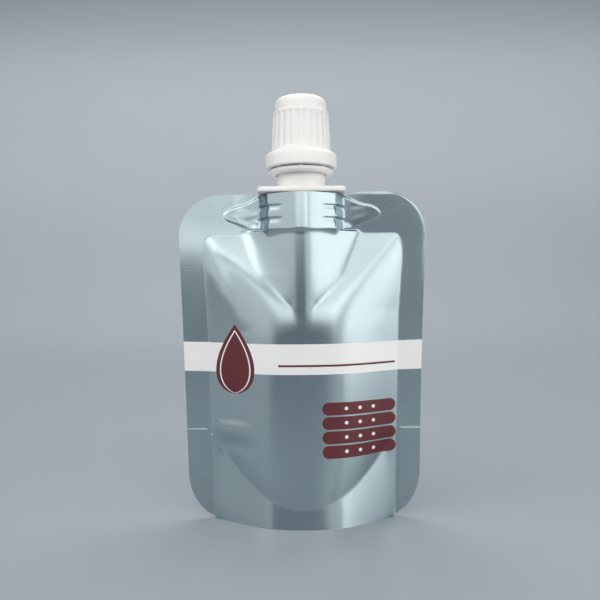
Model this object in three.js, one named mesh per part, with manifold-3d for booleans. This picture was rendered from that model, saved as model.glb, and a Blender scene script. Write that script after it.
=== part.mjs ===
// A small spout pouch: a filled stand-up film pouch with a welded spout, a screw cap and its tamper ring.
// Millimetres, +Z up, front towards -Y, origin on the ground under the middle of the pouch.
import * as THREE from 'three';
import { mergeVertices } from 'three/addons/utils/BufferGeometryUtils.js';
import Module from 'manifold-3d';

const wasm = await Module();
wasm.setup();

// Gap left between pieces that meet, and how far a cut runs past a face
const clearance = 0.3;
const cutOver = 1;

// Film pouch: outline
const pouchWidth = 60;
const pouchHeight = 78.5;
const sideSeal = 5.4;
const topSeal = 10;
const topCorner = 10;
const bottomCornerWidth = 8.7;
const bottomCornerHeight = 11;
const baseDrawIn = 2.2; // each side edge, pulled in by the fill
const drawInPower = 1.4; // how late the sides start to lean in
const filmPly = 0.18;
const spoutDip = 0.75; // of the top edge, where the film is drawn round the spout
const dipRun = 3; // over which it rises again at each side

// Film pouch: fill, measured from the plane of the seals to one face
const baseHalfDepth = 10.4;
const waistHalfDepth = 7.8;
const waistHeight = 62;
const thickeningPower = 2.4; // how late the fill thickens on its way down
const lensPower = 2.3; // how full the fill is across the chamber
const facetSlope = 0.45; // of the facet below the top seal
const facetBulge = 0.003; // how much flatter it gets on its way down
const facetFall = 0.00088; // how much it falls away to the sides
const facetFallWidth = 12; // beyond which it falls away less
const sideSlope = 0.4; // of the facet beside each side seal, at the top
const sideSteepening = 0.0135; // for each millimetre down
const creaseWidth = 1.6; // over which two faces run into each other

// Film pouch: folded base
const gussetHeight = 21.5; // of the fold, at the side seals
const skirtHeight = 4.4; // of the bottom seal, at mid width
const seamDip = 0.3; // of the film along the bottom seal's curve, at mid width
const seamSideDip = 2.9; // more of it towards the sides
const seamRise = 6; // over which the film swells out again above the curve

// Film tube that the spout props open below its weld
const tubeHalfWidth = 10;
const tubeTopDepth = 7.6;
const tubeRise = 0.015; // of the crest, for each millimetre down
const tubeWidening = 3; // of the half width, on its way down
const tubeSettle = 4; // depth at which half of that is reached

// Spout: weld base that the film is sealed to
const boreDiameter = 8.6;
const barrelWall = 3.5;
const weldHeight = 7.85;
const weldInset = 0.6; // below the dip in the film's top edge
const ribCount = 3;
const grooveHeight = 1.2;
const grooveDepth = 0.7;
const wingReach = 18.5;
const wingRoot = 11;
const wingRootHeight = 7.4;
const wingTipHeight = 3.2;
const wingHalfDepth = 3.4;
const wingTipHalfDepth = 0.5;
const webThickness = 1.2;

// Film drawn over the weld base
const filmWall = 0.25;
const ribRelief = 0.3;

// Spout: flange and neck
const flangeWidth = 21;
const flangeThickness = 1.2;
const flangeCorner = 1.6;
const flangeLip = 0.25; // stands out in front of the neck
const neckWall = 1.44;
const neckReveal = 3.35; // bare neck between the flange and the tamper ring
const threadWall = 1.2;
const lipWall = 0.7;
const beadGrip = 0.35; // how far the bead stands out past the inside of the ring
const beadHeight = 1;

// Tamper ring
const ringHeight = 1.25;
const ringStep = 0.94; // set back from the collar
const ringBevel = 0.5;

// Cap
const collarHeight = 3.9;
const collarRound = 1;
const collarStep = 1.43; // stands out past the foot of the grip
const collarRecess = 2.1;
const gripHeight = 9.7;
const gripWall = 1.16;
const gripTaper = 0.46;
const gripRound = 0.5;
const fluteCount = 24;
const fluteDepth = 0.3;
const crownHeight = 3.8;
const crownStep = 0.47;
const crownRound = 2.8;
const crownDraft = 0.15;
const domeRise = 0.3;
const ceiling = 1.2;
const headSpace = 1.2;
const threadRoom = 0.55;
const plugDepth = 2.2;
const plugWall = 0.9;

// Facets
const roundSides = 36;
const arcSteps = 4;
const chamberColumns = 26;
const sealColumns = 3;
const cornerRows = 8;
const chamberRows = 16;
const gussetStations = 18;
const gussetLevels = 6;
const stepsPerFlute = 4;

// Heights and radii that follow
const chamberTop = pouchHeight - topSeal;
const spoutEdge = pouchHeight - spoutDip;
const boreRadius = boreDiameter / 2;
const barrelRadius = boreRadius + barrelWall;
const neckRadius = boreRadius + neckWall;
const threadRadius = boreRadius + threadWall;
const lipRadius = boreRadius + lipWall;
const weldTop = spoutEdge - weldInset;
const weldBottom = weldTop - weldHeight;
const weldMiddle = weldTop - weldHeight / 2;
const ribHeight = (weldHeight - (ribCount - 1) * grooveHeight) / ribCount;
const flangeBottom = spoutEdge + clearance;
const flangeTop = flangeBottom + flangeThickness;
const ringBottom = flangeTop + neckReveal;
const ringTop = ringBottom + ringHeight;
const ringInnerRadius = neckRadius + clearance;
const beadRadius = ringInnerRadius + beadGrip;
const beadBottom = ringTop + clearance;
const capBottom = ringTop + clearance;
const collarTop = capBottom + collarHeight;
const gripTop = collarTop + gripHeight;
const capTop = gripTop + crownHeight;
const neckTop = capTop - ceiling - headSpace;
const threadTop = gripTop - headSpace;
const capInnerRadius = threadRadius + threadRoom;
const gripFootRadius = capInnerRadius + gripWall;
const gripHeadRadius = gripFootRadius - gripTaper;
const crownRadius = gripHeadRadius - crownStep;
const collarRadius = gripFootRadius + collarStep;
const ringRadius = collarRadius - ringStep;

const film = new THREE.MeshStandardMaterial({ color: 0x7c919c, roughness: 0.35, metalness: 0.9 });
const whitePlastic = new THREE.MeshStandardMaterial({ color: 0xf1efec, roughness: 0.45, metalness: 0 });

const { clamp, lerp } = THREE.MathUtils;

// A closed geometry as a solid, without the flat triangles that meet on an axis.
function solid(geometry) {
  geometry.deleteAttribute('normal');
  geometry.deleteAttribute('uv');
  const merged = mergeVertices(geometry);
  const corners = merged.index.array;
  const triangles = [];
  for (let i = 0; i < corners.length; i += 3) {
    const [a, b, c] = corners.slice(i, i + 3);
    if (a !== b && b !== c && c !== a) triangles.push(a, b, c);
  }
  const vertProperties = new Float32Array(merged.attributes.position.array);
  const triVerts = new Uint32Array(triangles);
  return new wasm.Manifold(new wasm.Mesh({ numProp: 3, vertProperties, triVerts }));
}

// A solid as a named mesh.
function piece(name, body, material) {
  const { vertProperties, triVerts } = body.getMesh();
  const geometry = new THREE.BufferGeometry();
  geometry.setAttribute('position', new THREE.BufferAttribute(vertProperties, 3));
  geometry.setIndex(new THREE.BufferAttribute(triVerts, 1));
  geometry.computeVertexNormals();
  const mesh = new THREE.Mesh(geometry, material);
  mesh.name = name;
  return mesh;
}

// A turned solid from a profile of radius and height that starts and ends on the axis.
function turned(profile) {
  return solid(new THREE.LatheGeometry(profile, roundSides).rotateX(Math.PI / 2));
}

// The points of a profile given as [radius, height] pairs.
function profileOf(pairs) {
  return pairs.map(([radius, height]) => new THREE.Vector2(radius, height));
}

// An upright prism over an outline in X and Y.
function prism(outline, bottom, height) {
  const settings = { depth: height, bevelEnabled: false, curveSegments: arcSteps };
  return solid(new THREE.ExtrudeGeometry(outline, settings).translate(0, 0, bottom));
}

// A solid through rings of equally many points, closed at both ends by fans from the rings' middles.
function loft(rings) {
  const count = rings[0].length;
  const vertices = rings.flat();
  const index = [];
  for (let i = 0; i < count; i++) {
    const next = (i + 1) % count;
    for (let low = 0; low < (rings.length - 1) * count; low += count) {
      const high = low + count;
      index.push(low + i, low + next, high + next, low + i, high + next, high + i);
    }
    const last = (rings.length - 1) * count;
    index.push(vertices.length, next, i, vertices.length + 1, last + i, last + next);
  }
  for (const ring of [rings[0], rings.at(-1)]) {
    const middle = new THREE.Vector3();
    for (const point of ring) middle.addScaledVector(point, 1 / count);
    vertices.push(middle);
  }
  const geometry = new THREE.BufferGeometry().setFromPoints(vertices);
  geometry.setIndex(index);
  return solid(geometry);
}

// The smaller of two depths, rounded where they cross.
function softMin(a, b) {
  const overlap = Math.max(creaseWidth - Math.abs(a - b), 0) / creaseWidth;
  return Math.min(a, b) - (overlap * overlap * creaseWidth) / 4;
}

// The larger of two depths, rounded where they cross.
function softMax(a, b) {
  return -softMin(-a, -b);
}

// How far each side is drawn in by the fill at a height.
function drawIn(z) {
  return baseDrawIn * (1 - clamp(z / chamberTop, 0, 1) ** drawInPower);
}

// Half width of the chamber between the side seals.
function chamberHalfWidth(z) {
  return pouchWidth / 2 - sideSeal - drawIn(z);
}

// Half width of the film at a height: the sides lean in towards the base, and all corners are round.
function outlineHalfWidth(z) {
  const intoTop = clamp((z - pouchHeight + topCorner) / topCorner, 0, 1);
  const intoBottom = clamp((bottomCornerHeight - z) / bottomCornerHeight, 0, 1);
  const topInset = topCorner * (1 - Math.sqrt(1 - intoTop ** 2));
  const bottomInset = bottomCornerWidth * (1 - Math.sqrt(1 - intoBottom ** 2));
  return pouchWidth / 2 - drawIn(z) - topInset - bottomInset;
}

// Facet below the top seal: it flattens on its way down and falls away to the sides.
function topFacet(x, z) {
  const drop = chamberTop - z;
  const curved = Math.min(drop, facetSlope / facetBulge / 2);
  const aside = x ** 2 / (1 + (x / facetFallWidth) ** 2);
  return facetSlope * drop - facetBulge * curved ** 2 - facetFall * aside * drop;
}

// Fill: a lens across the chamber, thicker towards the base, under the facets along the top and side seals.
function fillDepth(x, z) {
  const thickening = (baseHalfDepth - waistHalfDepth) * Math.max(0, 1 - z / waistHeight) ** thickeningPower;
  const halfWidth = chamberHalfWidth(z);
  const lens = (waistHalfDepth + thickening) * (1 - (Math.abs(x) / halfWidth) ** lensPower);
  const side = (sideSlope + sideSteepening * (chamberTop - z)) * (halfWidth - Math.abs(x));
  return softMin(softMin(lens, side), topFacet(x, z));
}

// Tube below the weld: a round ridge that soon widens a little and runs down until the fill rises past it.
function tubeDepth(x, z) {
  const drop = weldBottom - z;
  if (drop < 0) return -creaseWidth;
  const halfWidth = tubeHalfWidth + (tubeWidening * drop) / (drop + tubeSettle);
  return tubeTopDepth * (1 - (x / halfWidth) ** 2) + tubeRise * drop;
}

// Height of the bottom seal's curve, which runs up to the gusset's fold at the sides.
function gussetLine(x) {
  const across = x / chamberHalfWidth(gussetHeight);
  return skirtHeight + (gussetHeight - skirtHeight) * across ** 2;
}

// How far the bottom seal's curve holds the film in: the skirt flares out below it, the fill swells above it.
function seamHold(x, z) {
  const across = Math.min(Math.abs(x) / chamberHalfWidth(gussetHeight), 1);
  const dip = (seamDip + seamSideDip * across ** 2) * (1 - across ** 8);
  const seam = gussetLine(x);
  return z < seam ? (dip * z) / seam : dip * Math.exp((seam - z) / seamRise);
}

// Half depth of the film: two plies at the seals, four below the gusset's fold, and the fill between them.
function filmDepth(x, z) {
  const atSeal = Math.abs(x) > chamberHalfWidth(z) - filmPly;
  const plies = atSeal && z < gussetHeight ? 2 : 1;
  const relief = Math.max(softMax(fillDepth(x, z), tubeDepth(x, z)), 0);
  const held = Math.min(relief / (seamDip + seamSideDip), 1);
  return plies * filmPly + relief - seamHold(x, z) * held;
}

// Turned form of the weld base: ribs with grooves between them.
function ribbedProfile(radius, groove, bottom, top) {
  const pairs = [[0, bottom]];
  for (let rib = 0; rib < ribCount; rib++) {
    const foot = weldBottom + rib * (ribHeight + grooveHeight);
    const ribFoot = rib === 0 ? bottom : foot;
    const ribHead = rib === ribCount - 1 ? top : foot + ribHeight;
    pairs.push([radius, ribFoot], [radius, ribHead]);
    if (ribHead !== top) pairs.push([radius - groove, ribHead], [radius - groove, ribHead + grooveHeight]);
  }
  pairs.push([0, top]);
  return profileOf(pairs);
}

// Outline of both wings seen from the front, widened by a margin.
function wingOutline(margin) {
  const root = wingRootHeight / 2 + margin;
  const tip = wingTipHeight / 2 + margin;
  const reach = wingReach + margin;
  const outline = new THREE.Shape();
  outline.moveTo(-wingRoot, -root);
  outline.lineTo(wingRoot, -root);
  outline.lineTo(reach - tip / 2, -tip);
  outline.quadraticCurveTo(reach, -tip, reach, 0);
  outline.quadraticCurveTo(reach, tip, reach - tip / 2, tip);
  outline.lineTo(wingRoot, root);
  outline.lineTo(-wingRoot, root);
  outline.lineTo(-reach + tip / 2, tip);
  outline.quadraticCurveTo(-reach, tip, -reach, 0);
  outline.quadraticCurveTo(-reach, -tip, -reach + tip / 2, -tip);
  outline.closePath();
  return outline;
}

// A plate of the wings' outline, standing in the plane of the seals.
function wingPlate(margin, thickness) {
  const settings = { depth: thickness, bevelEnabled: false, curveSegments: arcSteps };
  const plate = new THREE.ExtrudeGeometry(wingOutline(margin), settings).translate(0, 0, -thickness / 2);
  return solid(plate.rotateX(Math.PI / 2).translate(0, 0, weldMiddle));
}

// Plan of the wings: deepest in the middle, thin at the tips.
function wingPlan(margin) {
  const reach = wingReach + margin;
  const tip = wingTipHalfDepth + margin;
  const middle = wingHalfDepth + margin;
  const corners = [[-reach, -tip], [0, -middle], [reach, -tip], [reach, tip], [0, middle], [-reach, tip]];
  return new THREE.Shape(corners.map(([x, y]) => new THREE.Vector2(x, y)));
}

// Both wings as one solid form, widened by a margin.
function wings(margin) {
  return wingPlate(margin, 2 * barrelRadius).intersect(prism(wingPlan(margin), 0, pouchHeight));
}

// Heights of the rows that shape the pouch, closer together round the corners.
function pouchRows() {
  const rows = [];
  const quarter = Math.PI / 2;
  for (let i = 0; i < cornerRows; i++) {
    rows.push(bottomCornerHeight * (1 - Math.cos((quarter * i) / cornerRows)));
  }
  for (let i = 0; i < chamberRows; i++) {
    rows.push(lerp(bottomCornerHeight, pouchHeight - topCorner, i / chamberRows));
  }
  for (let i = 0; i <= cornerRows; i++) {
    rows.push(pouchHeight - topCorner + topCorner * Math.sin((quarter * i) / cornerRows));
  }
  rows.push(gussetHeight, gussetHeight - filmPly);
  return rows.sort((a, b) => a - b);
}

// Places across the film at a height: columns over the chamber, then a few over each side seal.
function pouchColumns(z) {
  const edge = outlineHalfWidth(z);
  const sealStart = Math.min(chamberHalfWidth(z), edge - sealColumns * filmPly);
  const columns = [];
  for (let i = 0; i < sealColumns; i++) columns.push(lerp(-edge, -sealStart, i / sealColumns));
  for (let i = 0; i < chamberColumns; i++) columns.push(lerp(-sealStart, sealStart, i / chamberColumns));
  for (let i = 0; i <= sealColumns; i++) columns.push(lerp(sealStart, edge, i / sealColumns));
  return columns;
}

// Film pouch with its fill: front and back faces lofted upwards.
function filledFilm() {
  const rings = pouchRows().map((z) => {
    const columns = pouchColumns(z);
    const front = columns.map((x) => new THREE.Vector3(x, -filmDepth(x, z), z));
    const back = columns.map((x) => new THREE.Vector3(x, filmDepth(x, z), z));
    return [...front, ...back.reverse()];
  });
  return loft(rings);
}

// Room above the dip in the film's top edge: wider than the flange, with ends that run out to the edge.
function dipRoom() {
  const foot = flangeWidth / 2 + 2 * clearance;
  const head = foot + dipRun;
  const above = pouchHeight + cutOver;
  const corners = [[-foot, spoutEdge], [foot, spoutEdge], [head, pouchHeight], [head, above]];
  corners.push([-head, above], [-head, pouchHeight]);
  const outline = new THREE.Shape(corners.map(([x, z]) => new THREE.Vector2(x, z)));
  const settings = { depth: 2 * tubeHalfWidth, bevelEnabled: false };
  const block = new THREE.ExtrudeGeometry(outline, settings).translate(0, 0, -tubeHalfWidth);
  return solid(block.rotateX(Math.PI / 2));
}

// Hollow under the base: the room between the two skirts, up to the gusset, lofted across the pouch.
function gussetHollow() {
  const skirt = 2 * filmPly;
  const reach = chamberHalfWidth(0) * (1 - (2 * skirt) / waistHalfDepth) ** (1 / lensPower);
  const rings = [];
  for (let i = 0; i <= gussetStations; i++) {
    const x = lerp(-reach, reach, i / gussetStations);
    const front = [];
    for (let j = 0; j <= gussetLevels; j++) {
      const z = lerp(-cutOver, gussetLine(x), j / gussetLevels);
      front.push(new THREE.Vector3(x, -(filmDepth(x, Math.max(z, 0)) - skirt), z));
    }
    const back = front.map((point) => new THREE.Vector3(x, -point.y, point.z));
    rings.push([...back, ...front.reverse()]);
  }
  return loft(rings);
}

// Pouch: filled film, drawn over the weld base in a ribbed sleeve, with the base folded in underneath.
function pouch() {
  const pocketRadius = barrelRadius + clearance;
  const pocketBottom = weldBottom - clearance;
  const pocketTop = pouchHeight + cutOver;
  const sleeveRadius = pocketRadius + filmWall + ribRelief;
  const barrelSleeve = turned(ribbedProfile(sleeveRadius, ribRelief, pocketBottom - filmWall, spoutEdge));
  const barrelPocket = turned(profileOf([
    [0, pocketBottom], [pocketRadius, pocketBottom], [pocketRadius, pocketTop], [0, pocketTop],
  ]));
  const sleeve = barrelSleeve.add(wings(clearance + filmWall));
  const pocket = barrelPocket.add(wings(clearance));
  const drawnFilm = filledFilm().subtract(dipRoom()).add(sleeve);
  const body = drawnFilm.subtract(pocket).subtract(gussetHollow());
  return piece('pouch', body, film);
}

// Spout: ribbed weld base with two wings, a flange, and a neck with a bead and a lip, bored through.
function spout() {
  const barrel = turned(ribbedProfile(barrelRadius, grooveDepth, weldBottom, weldTop));
  let finnedWings = wingPlate(0, webThickness);
  for (let rib = 0; rib < ribCount; rib++) {
    const foot = weldBottom + rib * (ribHeight + grooveHeight);
    const slab = prism(wingPlan(0), foot, ribHeight);
    finnedWings = finnedWings.add(slab.intersect(wings(0)));
  }
  const flange = new THREE.Shape();
  const [halfWidth, halfDepth] = [flangeWidth / 2 - flangeCorner, neckRadius + flangeLip - flangeCorner];
  flange.absarc(halfWidth, halfDepth, flangeCorner, 0, Math.PI / 2);
  flange.absarc(-halfWidth, halfDepth, flangeCorner, Math.PI / 2, Math.PI);
  flange.absarc(-halfWidth, -halfDepth, flangeCorner, Math.PI, Math.PI * 1.5);
  flange.absarc(halfWidth, -halfDepth, flangeCorner, Math.PI * 1.5, Math.PI * 2);
  const neck = turned(profileOf([
    [0, weldMiddle],
    [neckRadius, weldMiddle],
    [neckRadius, beadBottom],
    [beadRadius, beadBottom + beadHeight / 4],
    [beadRadius, beadBottom + beadHeight / 2],
    [threadRadius, beadBottom + beadHeight],
    [threadRadius, threadTop],
    [lipRadius, threadTop + threadRadius - lipRadius],
    [lipRadius, neckTop - lipWall / 3],
    [lipRadius - lipWall / 3, neckTop],
    [0, neckTop],
  ]));
  const bore = turned(profileOf([
    [0, weldBottom - cutOver],
    [boreRadius, weldBottom - cutOver],
    [boreRadius, neckTop + cutOver],
    [0, neckTop + cutOver],
  ]));
  const plate = prism(flange, flangeBottom, flangeThickness);
  const body = barrel.add(finnedWings).add(plate).add(neck).subtract(bore);
  return piece('spout', body, whitePlastic);
}

// Tamper ring: a bevelled band below the cap, held down by the bead on the neck.
function tamperRing() {
  const ring = profileOf([
    [ringInnerRadius, ringBottom],
    [ringRadius - ringBevel, ringBottom],
    [ringRadius, ringBottom + ringBevel],
    [ringRadius, ringTop],
    [ringInnerRadius, ringTop],
    [ringInnerRadius, ringBottom],
  ]);
  return piece('tamper_ring', turned(ring), whitePlastic);
}

// Outside of the cap without its flutes: collar, core of the grip, and a round crown.
function capOutside() {
  const coreFoot = gripFootRadius - 2 * fluteDepth;
  const coreHead = gripHeadRadius - 2 * fluteDepth;
  const shoulder = collarTop - collarRound;
  const crownSide = crownRadius - crownDraft;
  const outside = new THREE.Path();
  outside.moveTo(0, capBottom);
  outside.lineTo(collarRadius, capBottom);
  outside.lineTo(collarRadius, shoulder);
  outside.quadraticCurveTo(collarRadius, collarTop - collarRound / 4, gripFootRadius, collarTop);
  outside.lineTo(coreFoot, collarTop);
  outside.lineTo(coreHead, gripTop - gripRound);
  outside.lineTo(crownRadius, gripTop);
  const [middle, side] = [crownSide - crownRound, capTop - crownRound];
  outside.absellipse(middle, side, crownRound, crownRound - domeRise, 0, Math.PI / 2);
  outside.lineTo(0, capTop);
  return turned(outside.getPoints(arcSteps));
}

// Grip: a tapered sleeve of shallow upright flutes with a rounded head.
function flutedGrip() {
  const levels = [
    [gripFootRadius, collarTop - collarRound / 2],
    [gripHeadRadius, gripTop - gripRound],
    [gripHeadRadius - gripRound / 3, gripTop - gripRound / 3],
    [crownRadius - clearance / 2, gripTop],
  ];
  const rings = levels.map(([radius, z]) => {
    const ring = [];
    for (let i = 0; i < fluteCount * stepsPerFlute; i++) {
      const turn = (2 * Math.PI * i) / (fluteCount * stepsPerFlute);
      const cut = Math.min(fluteDepth, radius - crownRadius + clearance / 2);
      const r = radius - (cut * (1 - Math.cos(turn * fluteCount))) / 2;
      ring.push(new THREE.Vector3(r * Math.cos(turn), r * Math.sin(turn), z));
    }
    return ring;
  });
  return loft(rings);
}

// Inside of the cap: a recess over the bead, the room for the thread, and the room over the lip.
function capInside() {
  const recessRadius = beadRadius + 2 * clearance;
  const recessTop = capBottom + collarRecess;
  const crownInside = lipRadius + clearance;
  return turned(profileOf([
    [0, capBottom - cutOver],
    [recessRadius, capBottom - cutOver],
    [recessRadius, recessTop],
    [capInnerRadius, recessTop + recessRadius - capInnerRadius],
    [capInnerRadius, threadTop + clearance],
    [crownInside, threadTop + clearance + capInnerRadius - crownInside],
    [crownInside, capTop - crownRound],
    [crownInside - ceiling / 2, capTop - ceiling],
    [0, capTop - ceiling],
  ]));
}

// Cap: collar, fluted grip and crown, hollow, with a plug that seals in the bore.
function cap() {
  const plugRadius = boreRadius - clearance;
  const plugBottom = neckTop - plugDepth;
  const plug = turned(profileOf([
    [plugRadius - plugWall, plugBottom],
    [plugRadius, plugBottom],
    [plugRadius, capTop - ceiling / 2],
    [plugRadius - plugWall, capTop - ceiling / 2],
    [plugRadius - plugWall, plugBottom],
  ]));
  const body = capOutside().add(flutedGrip()).subtract(capInside()).add(plug);
  return piece('cap', body, whitePlastic);
}

const spoutPouch = new THREE.Group();
spoutPouch.name = 'spout_pouch';
spoutPouch.add(pouch(), spout(), tamperRing(), cap());

export default spoutPouch;
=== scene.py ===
"""A small spout pouch: a filled film pouch with a welded spout, a tamper ring and a screw cap.

Metres, +Z up, front towards -Y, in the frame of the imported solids.
"""
import math

import bmesh
import bpy
import numpy as np
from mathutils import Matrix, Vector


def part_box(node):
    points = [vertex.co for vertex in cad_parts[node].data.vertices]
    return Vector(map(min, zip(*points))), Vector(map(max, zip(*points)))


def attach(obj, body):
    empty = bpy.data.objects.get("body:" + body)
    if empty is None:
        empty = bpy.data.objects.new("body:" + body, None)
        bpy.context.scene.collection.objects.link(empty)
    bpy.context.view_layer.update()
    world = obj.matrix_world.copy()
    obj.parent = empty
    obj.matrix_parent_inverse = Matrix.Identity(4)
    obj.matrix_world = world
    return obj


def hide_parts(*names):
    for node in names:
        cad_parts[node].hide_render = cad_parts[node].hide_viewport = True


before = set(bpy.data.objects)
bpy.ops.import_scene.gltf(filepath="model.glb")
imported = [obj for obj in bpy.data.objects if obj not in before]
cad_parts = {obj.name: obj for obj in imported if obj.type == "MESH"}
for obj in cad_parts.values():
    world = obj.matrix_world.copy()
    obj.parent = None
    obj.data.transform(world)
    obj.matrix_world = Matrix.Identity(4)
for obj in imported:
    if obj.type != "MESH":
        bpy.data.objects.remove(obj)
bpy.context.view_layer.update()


# Front and back film: two panels of metallised laminate, cut to one outline and heat-sealed along the sides
# and the top. The liquid fills each out into a lens under a facet at the top and one at each side, and the
# spout props both apart in a tube that fades out towards the waist.
MM = 0.001
FILM_LOW, FILM_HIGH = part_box("pouch")
SPOUT_LOW, SPOUT_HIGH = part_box("spout")
FILM_WIDTH = FILM_HIGH.x - FILM_LOW.x
FILM_HEIGHT = FILM_HIGH.z

# Outline and seals
PLY = 0.18 * MM
SIDE_SEAL = 5.4 * MM
TOP_SEAL = 10 * MM
TOP_CORNER = 10 * MM
BASE_CORNER_WIDTH = 8.7 * MM
BASE_CORNER_HEIGHT = 11 * MM
BASE_DRAW_IN = 2.2 * MM
DRAW_IN_POWER = 1.4
CHAMBER_TOP = FILM_HEIGHT - TOP_SEAL

# Fill and facets
BASE_DEPTH = 10.4 * MM
WAIST_DEPTH = 7.8 * MM
WAIST_HEIGHT = 62 * MM
THICKENING_POWER = 2.4
LENS_POWER = 2.3
FACET_SLOPE = 0.49
FACET_BULGE = 0.003 / MM
FACET_FALL = 0.00088 / MM**2
FACET_FALL_WIDTH = 12 * MM
SIDE_SLOPE_LEFT = 0.31
SIDE_SLOPE_RIGHT = 0.39
STEEPENING_LEFT = 0.006 / MM
STEEPENING_RIGHT = 0.0055 / MM
TOP_FLARE = 0.8 * MM
FLARE_FROM = 50 * MM
HIP_ROUND = 2.2 * MM
SIDE_ROUND = 1.4 * MM

# Dip of the top edge at the spout
SPOUT_DIP = 0.75 * MM
DIP_FOOT = 11.1 * MM
DIP_RUN = 3 * MM

# Fold and curved seam of the base
FOLD_HEIGHT = 21.5 * MM
FOLD_SHARE = 0.8
FOLD_STEP = 0.7 * MM
FOLD_SIDE_STEP = 1 * MM
SEAM_HOLD = 2 * MM
SEAM_END_POWER = 8
SKIRT_HEIGHT = 4.4 * MM
SEAM_DIP = 0.3 * MM
SEAM_SIDE_DIP = 2.9 * MM
SEAM_RISE = 6 * MM

# Film over the spout
WELD_BOTTOM = SPOUT_LOW.z
WELD_HEIGHT = 7.85 * MM
WELD_MIDDLE = WELD_BOTTOM + WELD_HEIGHT / 2
RIDGE_SLOPE = 0.5
RIDGE_WIDTH = 2 * MM
TUBE_HALF_WIDTH = 12.6 * MM
TUBE_DEPTH = 7.55 * MM
TUBE_RISE = 0.014
TUBE_SIDE = 1
TUBE_ROUND = 2.8 * MM
TUBE_FADE = 3 * MM
TUBE_LEAST_ROUND = 0.1
BARREL_HALF_WIDTH = 10.2 * MM
BARREL_DEPTH = 7.85 * MM
BARREL_TAPER = 0.05
BARREL_SIDE = 2.4
BARREL_ROUND = 1.5 * MM
GROOVES = (WELD_BOTTOM + 2.42 * MM, WELD_BOTTOM + 5.43 * MM)
GROOVE_ABOVE = 0.3 * MM
GROOVE_BELOW = 0.9 * MM
GROOVE_DIP = 0.18 * MM
GROOVE_NOTCH = 0.35 * MM
GROOVE_FROM = 4 * MM
GROOVE_RUN = 1.8 * MM
LEDGE_SLOPE = 0.9
FOOT_HALF_WIDTH = 11.3 * MM
FOOT_HEIGHT = 0.5 * MM
FOOT_DEPTH = 0.45 * MM
FOOT_SLOPE = 0.5
WING_ROOT = 10 * MM
WING_REACH = 19 * MM
WING_ROOT_HALF = 4.2 * MM
WING_TIP_HALF = 1.3 * MM
WING_WAVE = 0.08
WING_WAVE_ANGLE = 8  # radians from root to tip
WING_TIP_POWER = 8
WING_DEPTH = 0.68 * MM
WING_TAPER = 0.03
WING_SLOPE = 0.9
WING_ROUND = 0.2 * MM
WING_LEAN = 0.96
WING_FILLET = 0.15 * MM
WELD_ROUND = 0.8 * MM

# Bend of the seals
LEAN_SLOPE_LEFT = 0.2
LEAN_SLOPE_RIGHT = -0.08
LEAN_FROM = 8 * MM
LEAN_RUN = 10 * MM
LEAN_HEIGHT = 66 * MM
LEAN_ROUND = 6 * MM
SEAL_WAVE = 0.12 * MM
WAVE_FROM = 18 * MM
WAVE_RUN = 10 * MM
WAVE_STEP = 7.5 * MM  # height for each radian
WAVE_PHASE_LEFT = 0.4
WAVE_PHASE_RIGHT = 2.3
EDGE_ROLL = 0.12 * MM
EDGE_WIDTH = 0.8 * MM
ROLL_FROM = 10 * MM
ROLL_RUN = 8 * MM
ROLL_ABOVE = 55 * MM
ROLL_RISE = 10 * MM
CREASE_FADE = 1 * MM
SEAL_FADE = 0.4 * MM

# Rows and columns of the grid
CORNER_ROWS = 72
MIDDLE_ROWS = 112
FOLD_ROW_GAP = 0.35 * MM
CHAMBER_COLUMNS = 161
SEAL_COLUMNS = 15
CHAMBER_SHARE = 0.85
MERGE_DIGITS = 8


def share_of(value, start, run):
    """How far a value lies past a start, as a share of a run, from none to one."""
    return np.clip((value - start) / run, 0, 1)


def smooth_step(share):
    """A share eased at both ends: three times its square less twice its cube."""
    return share**2 * (3 - 2 * share)


def lower_of(a, b, width):
    """The smaller of two depths, less a parabola where they come closer to each other than a width."""
    overlap = np.clip(width - np.abs(a - b), 0, None) / width
    return np.minimum(a, b) - overlap**2 * width / 4


def higher_of(a, b, width):
    """The larger of two depths, rounded in the same way."""
    return -lower_of(-a, -b, width)


def drawn_in(z):
    """How far the fill draws each side in: all of it at the base, none at the top of the chamber."""
    return BASE_DRAW_IN * (1 - np.clip(z / CHAMBER_TOP, 0, 1) ** DRAW_IN_POWER)


def film_edge(z):
    """Half the film's width at a height: the drawn-in side, less a quarter ellipse at each corner."""
    into_top = np.clip((z - FILM_HEIGHT + TOP_CORNER) / TOP_CORNER, 0, 1)
    into_base = np.clip(1 - z / BASE_CORNER_HEIGHT, 0, 1)
    top_inset = TOP_CORNER * (1 - np.sqrt(1 - into_top**2))
    base_inset = BASE_CORNER_WIDTH * (1 - np.sqrt(1 - into_base**2))
    return FILM_WIDTH / 2 - drawn_in(z) - top_inset - base_inset


def chamber_edge(z):
    """Half the width between the two side seals at a height."""
    return FILM_WIDTH / 2 - SIDE_SEAL - drawn_in(z)


def facet_depth(x, z):
    """The facet below the top seal: it rises with the drop from the top of the chamber, less and less, and
    falls away to the sides, with the square of the place across at first and then ever less."""
    drop = CHAMBER_TOP - z
    aside = x**2 / (1 + (x / FACET_FALL_WIDTH) ** 2)
    bulge = FACET_BULGE * np.clip(drop, 0, FACET_SLOPE / FACET_BULGE / 2) ** 2
    return FACET_SLOPE * drop - bulge - FACET_FALL * aside * drop


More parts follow.
